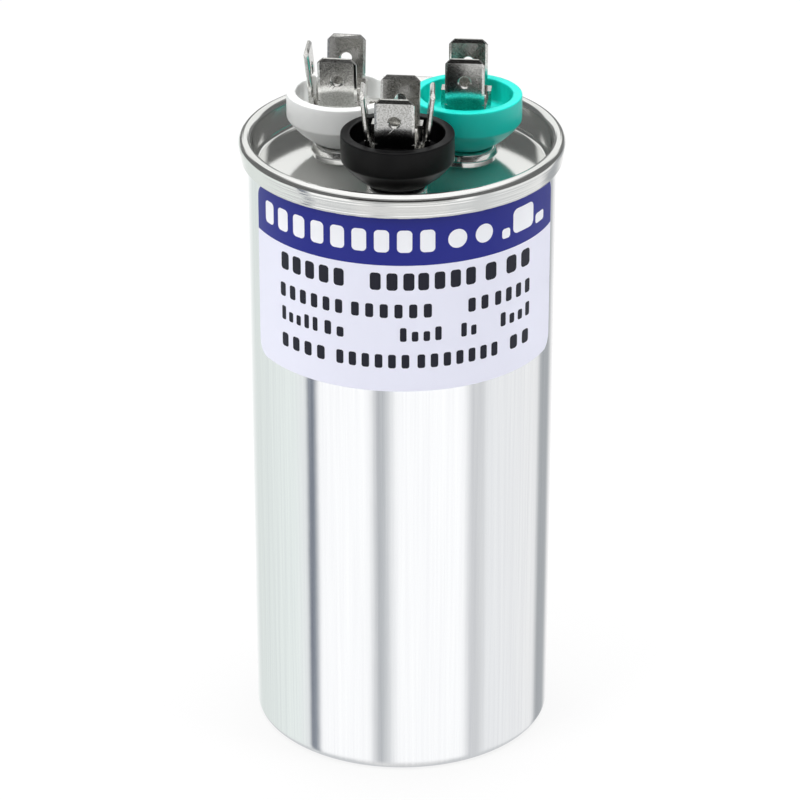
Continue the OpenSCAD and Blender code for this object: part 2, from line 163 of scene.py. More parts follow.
def spin(bm: bmesh.types.BMesh, section: Sequence[Point], steps: int,
         closed: bool) -> list[bmesh.types.BMVert]:
    """Turns a section once round the Z axis.

    Args:
        bm: The mesh that receives it.
        section: Points of radius and height, in millimetres.
        steps: Segments in the full turn.
        closed: Whether the last point joins the first.

    Returns:
        The new vertices.
    """
    old = set(bm.verts)
    verts = [bm.verts.new((radius * MM, 0.0, height * MM)) for radius, height in section]
    pairs = list(zip(verts, verts[1:])) + ([(verts[-1], verts[0])] if closed else [])
    edges = [bm.edges.new(pair) for pair in pairs]
    bmesh.ops.spin(
        bm, geom=verts + edges, cent=(0, 0, 0), axis=(0, 0, 1), dvec=(0, 0, 0),
        angle=math.tau, steps=steps, use_merge=True, use_normal_flip=False, use_duplicate=False,
    )
    new = [vert for vert in bm.verts if vert not in old]
    bmesh.ops.remove_doubles(bm, verts=new, dist=MERGE)
    return [vert for vert in bm.verts if vert not in old]


def finish_mesh(bm: bmesh.types.BMesh, name: str, sharp: float = 32.0) -> bpy.types.Object:
    """Makes an object of a mesh, with outward normals and smooth faces between sharp edges.

    Args:
        bm: The mesh, freed here.
        name: The object's name.
        sharp: Edges that turn by more than this many degrees stay sharp.

    Returns:
        The object, at the origin.
    """
    bmesh.ops.recalc_face_normals(bm, faces=bm.faces)
    for face in bm.faces:
        face.smooth = True
    mesh = bpy.data.meshes.new(name)
    bm.to_mesh(mesh)
    bm.free()
    mesh.set_sharp_from_angle(angle=math.radians(sharp))
    piece = bpy.data.objects.new(name, mesh)
    bpy.context.scene.collection.objects.link(piece)
    return piece


def place(piece: bpy.types.Object, material: bpy.types.Material,
          nodes: Iterable[str] = ()) -> None:
    """Dresses a finished piece and ties it to the frame.

    Args:
        piece: The piece.
        material: Its finish.
        nodes: CAD nodes that it stands for.
    """
    piece.data.materials.clear()
    piece.data.materials.append(material)
    shading = piece.modifiers.new("large_faces_flat", "WEIGHTED_NORMAL")
    shading.keep_sharp = True
    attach(piece, BODY)
    if nodes:
        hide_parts(*nodes)
    log.info("%s: %d faces, finish %s", piece.name, len(piece.data.polygons), material.name)


# ---------------------------------------------------------------- finishes


def linear(colour: str) -> tuple[float, float, float, float]:
    """Turns an sRGB colour to a linear one.

    Args:
        colour: Six hex digits after a hash sign.

    Returns:
        Linear red, green and blue, with full alpha.
    """
    parts = [int(colour[index:index + 2], 16) / 255 for index in (1, 3, 5)]
    red, green, blue = (
        part / 12.92 if part <= 0.04045 else ((part + 0.055) / 1.055) ** 2.4 for part in parts
    )
    return red, green, blue, 1.0


def add_node(tree: bpy.types.NodeTree, kind: str, inputs: dict[Any, Any] | None = None,
             stops: Sequence[tuple[float, str]] = (), **settings: Any) -> bpy.types.Node:
    """Adds one node with its settings and links.

    Args:
        tree: The tree that receives it.
        kind: The node's type name.
        inputs: Values or sockets by the input's name or number.
        stops: Positions and colours, where the node has a colour ramp.
        settings: Properties of the node.

    Returns:
        The node.
    """
    node = tree.nodes.new(kind)
    for name, value in settings.items():
        setattr(node, name, value)
    for key, value in (inputs or {}).items():
        if isinstance(value, bpy.types.NodeSocket):
            tree.links.new(value, node.inputs[key])
        else:
            node.inputs[key].default_value = value
    for index, (position, colour) in enumerate(stops):
        elements = node.color_ramp.elements
        element = elements[index] if index < 2 else elements.new(position)
        element.position = position
        element.color = linear(colour)
    return node


# Nearly all values of a noise lie between these.
NOISE_LOW, NOISE_HIGH = 0.3, 0.7


@dataclass(frozen=True)
class Finish:
    """What one material is and how its surface was made. A plain finish has a faint mottle."""

    name: str
    colour: str
    roughness: float = 0.4
    metallic: float = 0.0
    gloss: float = 0.5  # the shader's specular level, 0.5 for a common plastic
    cloud: float = 3.0  # mm between the soft clouds of the surface

    def build(self) -> bpy.types.Material:
        """Makes the material once and hands out the same one afterwards.

        Returns:
            The material.
        """
        known = bpy.data.materials.get(self.name)
        if known:
            return known
        material = bpy.data.materials.new(self.name)
        material.use_nodes = True
        tree = material.node_tree
        shader = tree.nodes["Principled BSDF"]
        shader.inputs["Base Color"].default_value = linear(self.colour)
        shader.inputs["Roughness"].default_value = self.roughness
        shader.inputs["Metallic"].default_value = self.metallic
        shader.inputs["Specular IOR Level"].default_value = self.gloss
        self.texture(tree, shader)
        return material

    def texture(self, tree: bpy.types.NodeTree, shader: bpy.types.Node) -> None:
        """Adds the surface's own pattern, here a mottle in the normal.

        Args:
            tree: The material's tree.
            shader: Its shader.
        """
        coords = add_node(tree, "ShaderNodeTexCoord").outputs["Object"]
        mottle = add_node(tree, "ShaderNodeTexNoise", {
            "Vector": coords, "Scale": 1 / (self.cloud * MM), "Detail": 3.0})
        bump = add_node(tree, "ShaderNodeBump", {
            "Height": mottle.outputs["Fac"], "Strength": 0.05, "Distance": 0.05 * MM})
        tree.links.new(bump.outputs["Normal"], shader.inputs["Normal"])


@dataclass(frozen=True)
class DrawnAluminium(Finish):
    """Deep-drawn, ironed aluminium: nearly a mirror, softly waved, with faint upright lines."""

    cloud: float = 12.0        # mm between shallow dents from handling
    shade: str = "#ECEDEF"     # the tone between the drawing lines
    line_pitch: float = 0.5    # mm between drawing lines, coarser than real so that they show
    line_length: float = 45.0  # mm over which a line runs on
    wave: float = 6.0          # mm between the soft waves of the thin wall

    def texture(self, tree: bpy.types.NodeTree, shader: bpy.types.Node) -> None:
        """Adds drawing lines in roughness, tone and normal, and waves and dents in the normal.

        Args:
            tree: The material's tree.
            shader: Its shader.
        """
        coords = add_node(tree, "ShaderNodeTexCoord").outputs["Object"]
        fine, long = 1 / (self.line_pitch * MM), 1 / (self.line_length * MM)
        soft = 1 / (self.wave * MM)
        along = add_node(tree, "ShaderNodeMapping", {"Vector": coords, "Scale": (fine, fine, long)})
        lines = add_node(tree, "ShaderNodeTexNoise", {
            "Vector": along.outputs["Vector"], "Scale": 1.0, "Detail": 2.0, "Roughness": 0.6})
        wide = add_node(tree, "ShaderNodeMapping", {"Vector": coords, "Scale": (soft, soft, long)})
        waves = add_node(tree, "ShaderNodeTexNoise", {
            "Vector": wide.outputs["Vector"], "Scale": 1.0, "Detail": 1.0})
        dents = add_node(tree, "ShaderNodeTexNoise", {
            "Vector": coords, "Scale": 1 / (self.cloud * MM), "Detail": 3.0})
        polish = add_node(tree, "ShaderNodeMapRange", {
            "Value": lines.outputs["Fac"], "From Min": NOISE_LOW, "From Max": NOISE_HIGH,
            "To Min": self.roughness * 0.85, "To Max": self.roughness * 1.2})
        tree.links.new(polish.outputs["Result"], shader.inputs["Roughness"])
        tone = add_node(tree, "ShaderNodeValToRGB", {"Fac": lines.outputs["Fac"]},
                        stops=[(NOISE_LOW, self.shade), (NOISE_HIGH, self.colour)])
        tree.links.new(tone.outputs["Color"], shader.inputs["Base Color"])
        waved = add_node(tree, "ShaderNodeBump", {
            "Height": waves.outputs["Fac"], "Strength": 0.3, "Distance": 0.04 * MM})
        dented = add_node(tree, "ShaderNodeBump", {
            "Height": dents.outputs["Fac"], "Strength": 0.4, "Distance": 0.05 * MM,
            "Normal": waved.outputs["Normal"]})
        lined = add_node(tree, "ShaderNodeBump", {
            "Height": lines.outputs["Fac"], "Strength": 0.12, "Distance": 0.003 * MM,
            "Normal": dented.outputs["Normal"]})
        tree.links.new(lined.outputs["Normal"], shader.inputs["Normal"])


@dataclass(frozen=True)
class Tinplate(Finish):
    """Cold-rolled tinplate, pressed: a bright sandy mirror, lined round by the seaming roller."""

    cloud: float = 5.0         # mm between shallow dents
    grain: float = 0.25        # mm between grains of the sheet, coarser than real so that they show
    roller: float = 0.3        # mm between the roller's lines
    seamed_from: float = 24.4  # mm from the axis, where the roller's lines begin
    seamed_fade: float = 0.6   # mm over which they come up
    seamed_depth: float = 0.6  # strength of their bump

    def texture(self, tree: bpy.types.NodeTree, shader: bpy.types.Node) -> None:
        """Adds a sandy grain and soft dents all over, and lines round the seam.

        Args:
            tree: The material's tree.
            shader: Its shader.
        """
        coords = add_node(tree, "ShaderNodeTexCoord").outputs["Object"]
        grains = add_node(tree, "ShaderNodeTexNoise", {
            "Vector": coords, "Scale": 1 / (self.grain * MM), "Detail": 2.0, "Roughness": 0.6})
        polish = add_node(tree, "ShaderNodeMapRange", {
            "Value": grains.outputs["Fac"], "From Min": NOISE_LOW, "From Max": NOISE_HIGH,
            "To Min": self.roughness * 0.5, "To Max": self.roughness * 1.5})
        tree.links.new(polish.outputs["Result"], shader.inputs["Roughness"])
        parts = add_node(tree, "ShaderNodeSeparateXYZ", {0: coords})
        plan = add_node(tree, "ShaderNodeCombineXYZ", {
            0: parts.outputs["X"], 1: parts.outputs["Y"]})
        radius = add_node(tree, "ShaderNodeVectorMath", {0: plan.outputs["Vector"]},
                          operation="LENGTH").outputs["Value"]
        section = add_node(tree, "ShaderNodeCombineXYZ", {0: radius, 1: parts.outputs["Z"]})
        lines = add_node(tree, "ShaderNodeTexNoise", {
            "Vector": section.outputs["Vector"], "Scale": 1 / (self.roller * MM), "Detail": 1.0})
        seamed = add_node(tree, "ShaderNodeMapRange", {
            "Value": radius, "From Min": self.seamed_from * MM,
            "From Max": (self.seamed_from + self.seamed_fade) * MM, "To Max": self.seamed_depth})
        dents = add_node(tree, "ShaderNodeTexNoise", {
            "Vector": coords, "Scale": 1 / (self.cloud * MM), "Detail": 1.0})
        dented = add_node(tree, "ShaderNodeBump", {
            "Height": dents.outputs["Fac"], "Strength": 0.4, "Distance": 0.02 * MM})
        sandy = add_node(tree, "ShaderNodeBump", {
            "Height": grains.outputs["Fac"], "Strength": 0.35, "Distance": 0.004 * MM,
            "Normal": dented.outputs["Normal"]})
        rolled = add_node(tree, "ShaderNodeBump", {
            "Height": lines.outputs["Fac"], "Strength": seamed.outputs["Result"],
            "Distance": 0.1 * MM, "Normal": sandy.outputs["Normal"]})
        tree.links.new(rolled.outputs["Normal"], shader.inputs["Normal"])


@dataclass(frozen=True)
class TinnedBrass(Finish):
    """Dull tin plated on brass strip: a grey mirror broken up by a coarse sandy grain."""

    cloud: float = 2.5         # mm between soft clouds from handling
    cloud_share: float = 0.35  # weight of the clouds in the tone, where the grain has 1
    shade: str = "#B6B5B1"     # the tone between the grains
    shade_at: float = 0.48     # sum of grain and clouds at which the tone is all shade
    colour_at: float = 0.82    # sum at which it is all colour
    grain: float = 0.26        # mm between grains, coarser than real so that they show

    def texture(self, tree: bpy.types.NodeTree, shader: bpy.types.Node) -> None:
        """Adds a sandy grain in tone, roughness and normal, and soft clouds in the tone.

        Args:
            tree: The material's tree.
            shader: Its shader.
        """
        coords = add_node(tree, "ShaderNodeTexCoord").outputs["Object"]
        grains = add_node(tree, "ShaderNodeTexNoise", {
            "Vector": coords, "Scale": 1 / (self.grain * MM), "Detail": 3.0, "Roughness": 0.65})
        clouds = add_node(tree, "ShaderNodeTexNoise", {
            "Vector": coords, "Scale": 1 / (self.cloud * MM), "Detail": 2.0})
        blend = add_node(tree, "ShaderNodeMath", {
            0: clouds.outputs["Fac"], 1: self.cloud_share, 2: grains.outputs["Fac"]},
            operation="MULTIPLY_ADD")
        tone = add_node(tree, "ShaderNodeValToRGB", {"Fac": blend.outputs["Value"]},
                        stops=[(self.shade_at, self.shade), (self.colour_at, self.colour)])
        tree.links.new(tone.outputs["Color"], shader.inputs["Base Color"])
        polish = add_node(tree, "ShaderNodeMapRange", {
            "Value": grains.outputs["Fac"], "From Min": NOISE_LOW, "From Max": NOISE_HIGH,
            "To Min": self.roughness * 0.75, "To Max": self.roughness * 1.25})
        tree.links.new(polish.outputs["Result"], shader.inputs["Roughness"])
        bump = add_node(tree, "ShaderNodeBump", {
            "Height": grains.outputs["Fac"], "Strength": 0.5, "Distance": 0.012 * MM})
        tree.links.new(bump.outputs["Normal"], shader.inputs["Normal"])


@dataclass(frozen=True)
class MouldedPlastic(Finish):
    """Moulded or extruded plastic: an even colour with a faint orange peel and a soft gloss."""

    cloud: float = 4.0  # mm between the clouds in its roughness
    peel: float = 0.6   # mm between the swells of the skin
    depth: float = 0.0  # share of light that goes under the skin
    reach: float = 1.2  # mm that this light travels there

    def texture(self, tree: bpy.types.NodeTree, shader: bpy.types.Node) -> None:
        """Adds orange peel in the normal, clouds in roughness, and light under the skin.

        Args:
            tree: The material's tree.
            shader: Its shader.
        """
        coords = add_node(tree, "ShaderNodeTexCoord").outputs["Object"]
        swells = add_node(tree, "ShaderNodeTexNoise", {
            "Vector": coords, "Scale": 1 / (self.peel * MM), "Detail": 2.0})
        clouds = add_node(tree, "ShaderNodeTexNoise", {
            "Vector": coords, "Scale": 1 / (self.cloud * MM), "Detail": 3.0})
        polish = add_node(tree, "ShaderNodeMapRange", {
            "Value": clouds.outputs["Fac"], "From Min": NOISE_LOW, "From Max": NOISE_HIGH,
            "To Min": self.roughness * 0.85, "To Max": self.roughness * 1.2})
        tree.links.new(polish.outputs["Result"], shader.inputs["Roughness"])
        bump = add_node(tree, "ShaderNodeBump", {
            "Height": swells.outputs["Fac"], "Strength": 0.25, "Distance": 0.02 * MM})
        tree.links.new(bump.outputs["Normal"], shader.inputs["Normal"])
        if self.depth:
            shader.inputs["Subsurface Weight"].default_value = self.depth
            shader.inputs["Subsurface Radius"].default_value = (1.0, 1.0, 1.0)
            shader.inputs["Subsurface Scale"].default_value = self.reach * MM


@dataclass(frozen=True)
class PrintedFilm(Finish):
    """Polyester label film or the ink on it: smooth and satin, slightly rippled by laying on."""

    cloud: float = 6.0  # mm between ripples

    def texture(self, tree: bpy.types.NodeTree, shader: bpy.types.Node) -> None:
        """Adds a ripple in the normal.

        Args:
            tree: The material's tree.
            shader: Its shader.
        """
        coords = add_node(tree, "ShaderNodeTexCoord").outputs["Object"]
        ripples = add_node(tree, "ShaderNodeTexNoise", {
            "Vector": coords, "Scale": 1 / (self.cloud * MM), "Detail": 1.0})
        bump = add_node(tree, "ShaderNodeBump", {
            "Height": ripples.outputs["Fac"], "Strength": 0.2, "Distance": 0.03 * MM})
        tree.links.new(bump.outputs["Normal"], shader.inputs["Normal"])


# The can: bright, so that its wall mirrors the room as upright bands.
ALUMINIUM = DrawnAluminium("drawn_aluminium", "#F4F5F6", 0.11, 1.0)
# The lid: bright too, and a little short of a full metal, so that it stays pale in dark corners.
TINPLATE = Tinplate("satin_tinplate", "#EDEDEB", 0.1, 0.97)
# Tabs and rivets: duller than the lid, the rivets most of all.
TIN = TinnedBrass("tinned_brass", "#E6E5E2", 0.17, 1.0)
RIVET_TIN = TinnedBrass("tinned_rivet", "#E2E1DE", 0.22, 1.0, grain=0.5)
# The label: a satin film of a bluish white, and satin inks on it.
FILM = PrintedFilm("label_film_pale", "#EAEBFA", 0.45, gloss=0.3)
BLUE_INK = PrintedFilm("label_ink_blue", "#1A2388", 0.4, gloss=0.3)
WHITE_INK = PrintedFilm("label_ink_white", "#F4F5FA", 0.4, gloss=0.3)
DARK_INK = PrintedFilm("label_ink_dark", "#22232F", 0.45, gloss=0.2)
# Terminal cups: injection-moulded polyester. Light goes under the skin of the two pale ones.
CUP_FINISH = {
    Terminal.WHITE: MouldedPlastic("moulded_white", "#ECEDEC", 0.36, gloss=0.35, depth=0.4),
    Terminal.BLACK: MouldedPlastic("moulded_black", "#09090A", 0.36, gloss=0.2),
    Terminal.GREEN: MouldedPlastic("moulded_blue_green", "#13CFC1", 0.36, gloss=0.45, depth=0.35),
}
# Pieces sealed inside the can, by the start of a node's name. None is seen from outside.
SEALED_IN = {
    "seam_seal": Finish("sealing_compound", "#6A6A68", 0.7),
    "gasket": MouldedPlastic("rubber_gasket", "#1B1B1C", 0.6),
    "washer": Finish("pressed_board_brown", "#7A4A2A", 0.75),
    "solder_lug": TinnedBrass("plain_brass_lug", "#D8BE78", 0.35, 1.0),
    "interrupter_disc": Finish("laminated_board", "#B58A55", 0.7),
    "core_tube": MouldedPlastic("extruded_core", "#E6E1D0", 0.45),
    "fan_winding": DrawnAluminium("wound_film_inner", "#D5DADD", 0.25, 0.9),
    "compressor_winding": DrawnAluminium("wound_film_outer", "#CDD3D7", 0.25, 0.9),
    "section_barrier": MouldedPlastic("film_barrier", "#E2E4CC", 0.3),
    "outer_wrap": MouldedPlastic("film_wrap", "#E4DFC2", 0.3),
    "end_spray": TinnedBrass("sprayed_zinc", "#9DA1A5", 0.6, 1.0, grain=0.4),
    "bottom_cup": MouldedPlastic("moulded_bottom_cup", "#EDE8DB", 0.45),
    "lead_common": MouldedPlastic("wire_black", "#202021", 0.5),
    "lead_fan": MouldedPlastic("wire_green", "#1F8A66", 0.5),
    "lead_compressor": MouldedPlastic("wire_white", "#E2E2DD", 0.5),
}


# ---------------------------------------------------------------- can and lid


@dataclass(frozen=True)
class DoubleSeam:
    """The can's flange and the lid's edge, folded together, as the middle lines of both sheets.

    Lengths are in millimetres and angles in degrees.
    """

    can_r: float = field(default_factory=lambda: mount_radius("can_wall"))
    can_h: float = field(default_factory=lambda: node_box("lid")[1].z)
    can_t: float = 0.35
    lid_t: float = 0.3
    height: float = 4.0
    gap: float = 0.05            # between the layers of the fold
    swell: float = 0.4           # extra width of the arch over the fold
    press: float = 0.02          # how far the gripped wall is pressed in
    grip_rise: float = 0.3       # of the gripped wall's foot over the seam's foot
    grip_lean: float = 2.0       # of the gripped wall, off upright
    flange_ease: float = 0.115   # between the can's flange and the arch over it
    flange_drop: float = 0.04    # of the flange's centre under the arch's
    hook_gap: float = 0.12       # between the can's wall and the lid's hook
    body_hook_gap: float = 0.08  # between the lid's hook and the can's
    body_hook_rise: float = 0.5  # of the can's hook over the curl's centre
    lid_hook_drop: float = 0.84  # of the lid's hook under the arch's centre
    lid_hook_lean: float = 2.0   # of the lid's hook, off upright
    recess: float = 5.3          # of the lid's panel below the seam's top
    chuck_taper: float = 5.0
    panel_fillet_r: float = 0.8
    rings: tuple[float, float, float] = (0.4, 0.5, 0.1)  # off the wall's ends, for even shading

    @property
    def gripped_mid_r(self) -> float:
        """Middle radius of the can's wall inside the seam."""
        return self.can_r - self.press - self.can_t / 2

    @property
    def arch_r(self) -> float:
        """Middle radius of the lid's arch over the can's flange."""
        return self.lid_t + self.can_t + 2 * self.gap + self.swell / 2

    @property
    def arch_centre(self) -> Point:
        """Centre of that arch."""
        return (self.gripped_mid_r - (self.can_t + self.lid_t) / 2 - self.gap + self.arch_r,
                self.can_h - self.arch_r - self.lid_t / 2)

    @property
    def curl_r(self) -> float:
        """Middle radius of the curl at the seam's foot."""
        return (self.can_t + self.lid_t + self.gap) / 2

    @property
    def hook_r(self) -> float:
        """Middle radius of the lid's hook."""
        return self.can_r + self.hook_gap + self.lid_t / 2

    @property
    def curl_centre(self) -> Point:
        """Centre of that curl."""
        return self.hook_r + self.curl_r, self.can_h - self.height + self.curl_r + self.lid_t / 2

    @property
    def panel_mid(self) -> float:
        """Height of the middle of the lid's panel."""
        return self.can_h - self.recess - self.lid_t / 2

    def can_wall(self, foot: float) -> list[Point]:
        """The can's wall from a height up to the tip of its body hook.

        Args:
            foot: Height at which the path starts.

        Returns:
            The middle line.
        """
        sheets = (self.lid_t + self.can_t) / 2
        flange_r = self.arch_r - sheets - self.flange_ease
        flange = (self.gripped_mid_r + flange_r, self.arch_centre[1] - self.flange_drop)
        tip = (self.hook_r + sheets + self.body_hook_gap, self.curl_centre[1] + self.body_hook_rise)
        lean = tangent_angle(flange, flange_r, tip, 0.0)
        wall = self.can_r - self.can_t / 2
        seam_foot = self.can_h - self.height
        grip_z = seam_foot + self.grip_rise
        grip_r = self.gripped_mid_r - (flange[1] - grip_z) * math.tan(math.radians(self.grip_lean))
        first, second, third = self.rings
        return [
            (wall, foot), (wall, foot + first),
            (wall, seam_foot - second), (wall, seam_foot - third),
            (grip_r, grip_z),
            *arc(flange, flange_r, 180, lean, steps=14),
            tip,
        ]

    def lid_edge(self, start_r: float) -> list[Point]:
        """The lid's sheet from a radius on its panel out to the tip of its hook.

        Args:
            start_r: Radius at which the path starts.

        Returns:
            The middle line.
        """
        taper = math.radians(self.chuck_taper)
        fillet = self.panel_fillet_r + self.lid_t / 2
        arch, radius = self.arch_centre, self.arch_r
        foot = (arch[0] - radius * math.cos(taper), arch[1] + radius * math.sin(taper))
        rise = foot[1] - self.panel_mid - fillet * (1 - math.sin(taper))
        fillet_centre = (foot[0] - rise * math.tan(taper) - fillet * math.cos(taper),
                         self.panel_mid + fillet)
        curl = self.curl_centre
        lean = tangent_angle(arch, radius, curl, self.curl_r)
        hook = arch[1] - self.lid_hook_drop - curl[1]
        return [
            (start_r, self.panel_mid),
            *arc(fillet_centre, fillet, -90, -self.chuck_taper, steps=12),
            *arc(arch, radius, 180 - self.chuck_taper, lean, steps=26),
            *arc(curl, self.curl_r, lean, -180, steps=18),
            (curl[0] - self.curl_r + hook * math.tan(math.radians(self.lid_hook_lean)),
             curl[1] + hook),
        ]


@dataclass
class Can:
    """The drawn can: bottom, wall and flange in one sheet."""

    seam: DoubleSeam
    bottom: float = 0.8
    foot_r: float = 1.0
    steps: int = 320

    def section(self) -> list[Point]:
        """Draws the can's half section, closed at the axis by the spin.

        Returns:
            The section.
        """
        seam = self.seam
        wall = seam.can_wall(self.foot_r + self.bottom)
        inner_r = self.foot_r - seam.can_t
        return [
            (0.0, 0.0),
            *arc((seam.can_r - self.foot_r, self.foot_r), self.foot_r, -90, 0, steps=10),
            *beside(wall, -seam.can_t / 2),
            *reversed(beside(wall, seam.can_t / 2)),
            *arc((seam.can_r - seam.can_t - inner_r, self.bottom + inner_r), inner_r, 0, -90,
                 steps=6),
            (0.0, self.bottom),
        ]

    def build(self) -> None:
        """Spins the section and dresses the can."""
        bm = bmesh.new()
        spin(bm, self.section(), self.steps, closed=False)
        place(finish_mesh(bm, "can_drawn"), ALUMINIUM.build(), ["can"])


@dataclass
class Lid:
    """The pressed lid with three drawn necks, as one sheet of even thickness."""

    seam: DoubleSeam
    panel_r: float = 22.0  # where the edge's spin begins
    steps: int = 320
    neck_steps: int = 96
    neck_h: float = 1.35
    neck_r: float = 4.3
    neck_hole_r: float = 3.45
    shoulder_r: float = 0.45
    foot_r: float = 0.3
    slope: float = 80.0    # degrees, of the neck's side
    reach: float = 5.9     # where the neck's spin ends on the panel

    def neck_path(self) -> list[Point]:
        """Draws a neck and the ring of panel round it.

        Returns:
            The middle line.
        """
        mid = self.seam.panel_mid
        slope = math.radians(self.slope)
        top = (self.neck_r, mid + self.neck_h - self.shoulder_r)
        start = (top[0] + self.shoulder_r * math.sin(slope),
                 top[1] + self.shoulder_r * math.cos(slope))
        drop = start[1] - mid - self.foot_r * (1 - math.cos(slope))
        foot = (start[0] + drop / math.tan(slope) + self.foot_r * math.sin(slope),
                mid + self.foot_r)
        return [
            (self.neck_hole_r, mid + self.neck_h),
            *arc(top, self.shoulder_r, 90, 90 - self.slope, steps=10),
            *arc(foot, self.foot_r, 270 - self.slope, 270, steps=8),
            (self.reach, mid),
        ]

    def build(self) -> None:
        """Spins edge and necks, fills the panel between them and gives the sheet its thickness."""
        bm = bmesh.new()
        spin(bm, self.seam.lid_edge(self.panel_r), self.steps, closed=False)
        for terminal in Terminal:
            neck = spin(bm, self.neck_path(), self.neck_steps, closed=False)
            bmesh.ops.translate(bm, verts=neck, vec=terminal.centre * MM)
        level = self.seam.panel_mid * MM
        rims = [edge for edge in bm.edges
                if edge.is_boundary and all(abs(vert.co.z - level) < LEVEL for vert in edge.verts)]
        bmesh.ops.triangle_fill(bm, use_beauty=True, use_dissolve=False, edges=rims,
                                normal=(0, 0, 1))
        piece = finish_mesh(bm, "lid_pressed")
        sheet = piece.modifiers.new("sheet", "SOLIDIFY")
        sheet.thickness = self.seam.lid_t * MM
        sheet.offset = 0.0
        sheet.use_even_offset = True
        place(piece, TINPLATE.build(), ["lid"])


# ---------------------------------------------------------------- terminals


@dataclass
class Cup:
    """One moulded terminal cup, a shallow bowl on a short spigot."""

    terminal: Terminal
    wall: float = 1.55
    wall_h: float = 4.3
    depth: float = 2.8
    foot_r: float = 3.9
    spigot_h: float = 1.2
    spigot_r: float = 3.3
    bore_r: float = 1.65
    bulge: float = 0.45       # how far the cone swells out at its middle
    cone_steps: int = 16
    edge_r: float = 0.6
    lip_r: float = 0.25
    floor_r: float = 0.5
    moat: float = 1.0         # how far the floor lies below the tabs' seat
    seat_r: float = 5.2
    seat_flare: float = 0.2
    steps: int = 192

    def section(self) -> list[Point]:
        """Draws the cup's closed half section.

        Returns:
            The section.
        """
        low, high = node_box(f"bushing_{self.terminal.value}")
        outer = (high.x - low.x + high.y - low.y) / 4
        lip = high.z
        foot = low.z + self.spigot_h
        wall_z = lip - self.wall_h
        start, stop = Vector((self.foot_r, foot)), Vector((outer, wall_z))
        way = stop - start
        outward = Vector((way.y, -way.x)).normalized()
        shares = [step / self.cone_steps for step in range(self.cone_steps - 1)]
        cone = [start + way * s + outward * self.bulge * 4 * s * (1 - s) for s in shares]
        turn = 90 - math.degrees(math.atan2(way.y, way.x) + math.atan(4 * self.bulge / way.length))
        edge = (outer - self.edge_r, wall_z + self.edge_r * math.tan(math.radians(turn / 2)))
        inner = outer - self.wall
        seat = lip - self.depth
        floor = seat - self.moat
        return [
            (self.bore_r, low.z), (self.spigot_r, low.z), (self.spigot_r, foot),
            *((point.x, point.y) for point in cone),
            *arc(edge, self.edge_r, -turn, 0, steps=8),
            *arc((outer - self.lip_r, lip - self.lip_r), self.lip_r, 0, 90, steps=6),
            *arc((inner + self.lip_r, lip - self.lip_r), self.lip_r, 90, 180, steps=6),
            *arc((inner - self.floor_r, floor + self.floor_r), self.floor_r, 0, -90, steps=8),
            (self.seat_r + self.seat_flare, floor), (self.seat_r, seat), (self.bore_r, seat),
        ]

    def build(self) -> None:
        """Spins the section at its terminal and dresses the cup."""
        bm = bmesh.new()
        verts = spin(bm, self.section(), self.steps, closed=True)
        bmesh.ops.translate(bm, verts=verts, vec=self.terminal.centre * MM)
        name = self.terminal.value
        piece = finish_mesh(bm, f"cup_{name}")
        place(piece, CUP_FINISH[self.terminal].build(), [f"bushing_{name}"])


@dataclass
class Rivet:
    """The rivet through one terminal, with a flat round head."""

    terminal: Terminal
    shank_r: float = 1.6
    head_r: float = 2.8
    head_h: float = 0.9
    tail_r: float = 2.6
    tail_h: float = 0.8
    tail_edge: Point = (0.4, 0.5)  # inwards and upwards
    edge_r: float = 0.5
    steps: int = 96

    def build(self) -> None:
        """Spins the section at its terminal and dresses the rivet."""
        name = f"rivet_{self.terminal.value}"
        low, high = node_box(name)
        head = high.z - self.head_h
        tail = low.z + self.tail_h
        inwards, upwards = self.tail_edge
        section = [
            (0.0, low.z), (self.tail_r - inwards, low.z), (self.tail_r, low.z + upwards),
            (self.tail_r, tail), (self.shank_r, tail), (self.shank_r, head), (self.head_r, head),
            *arc((self.head_r - self.edge_r, high.z - self.edge_r), self.edge_r, 0, 90, steps=8),
            (0.0, high.z),
        ]
        bm = bmesh.new()
        verts = spin(bm, section, self.steps, closed=False)
        bmesh.ops.translate(bm, verts=verts, vec=self.terminal.centre * MM)
        place(finish_mesh(bm, f"{name}_headed"), RIVET_TIN.build(), [name])


# ---------------------------------------------------------------- label


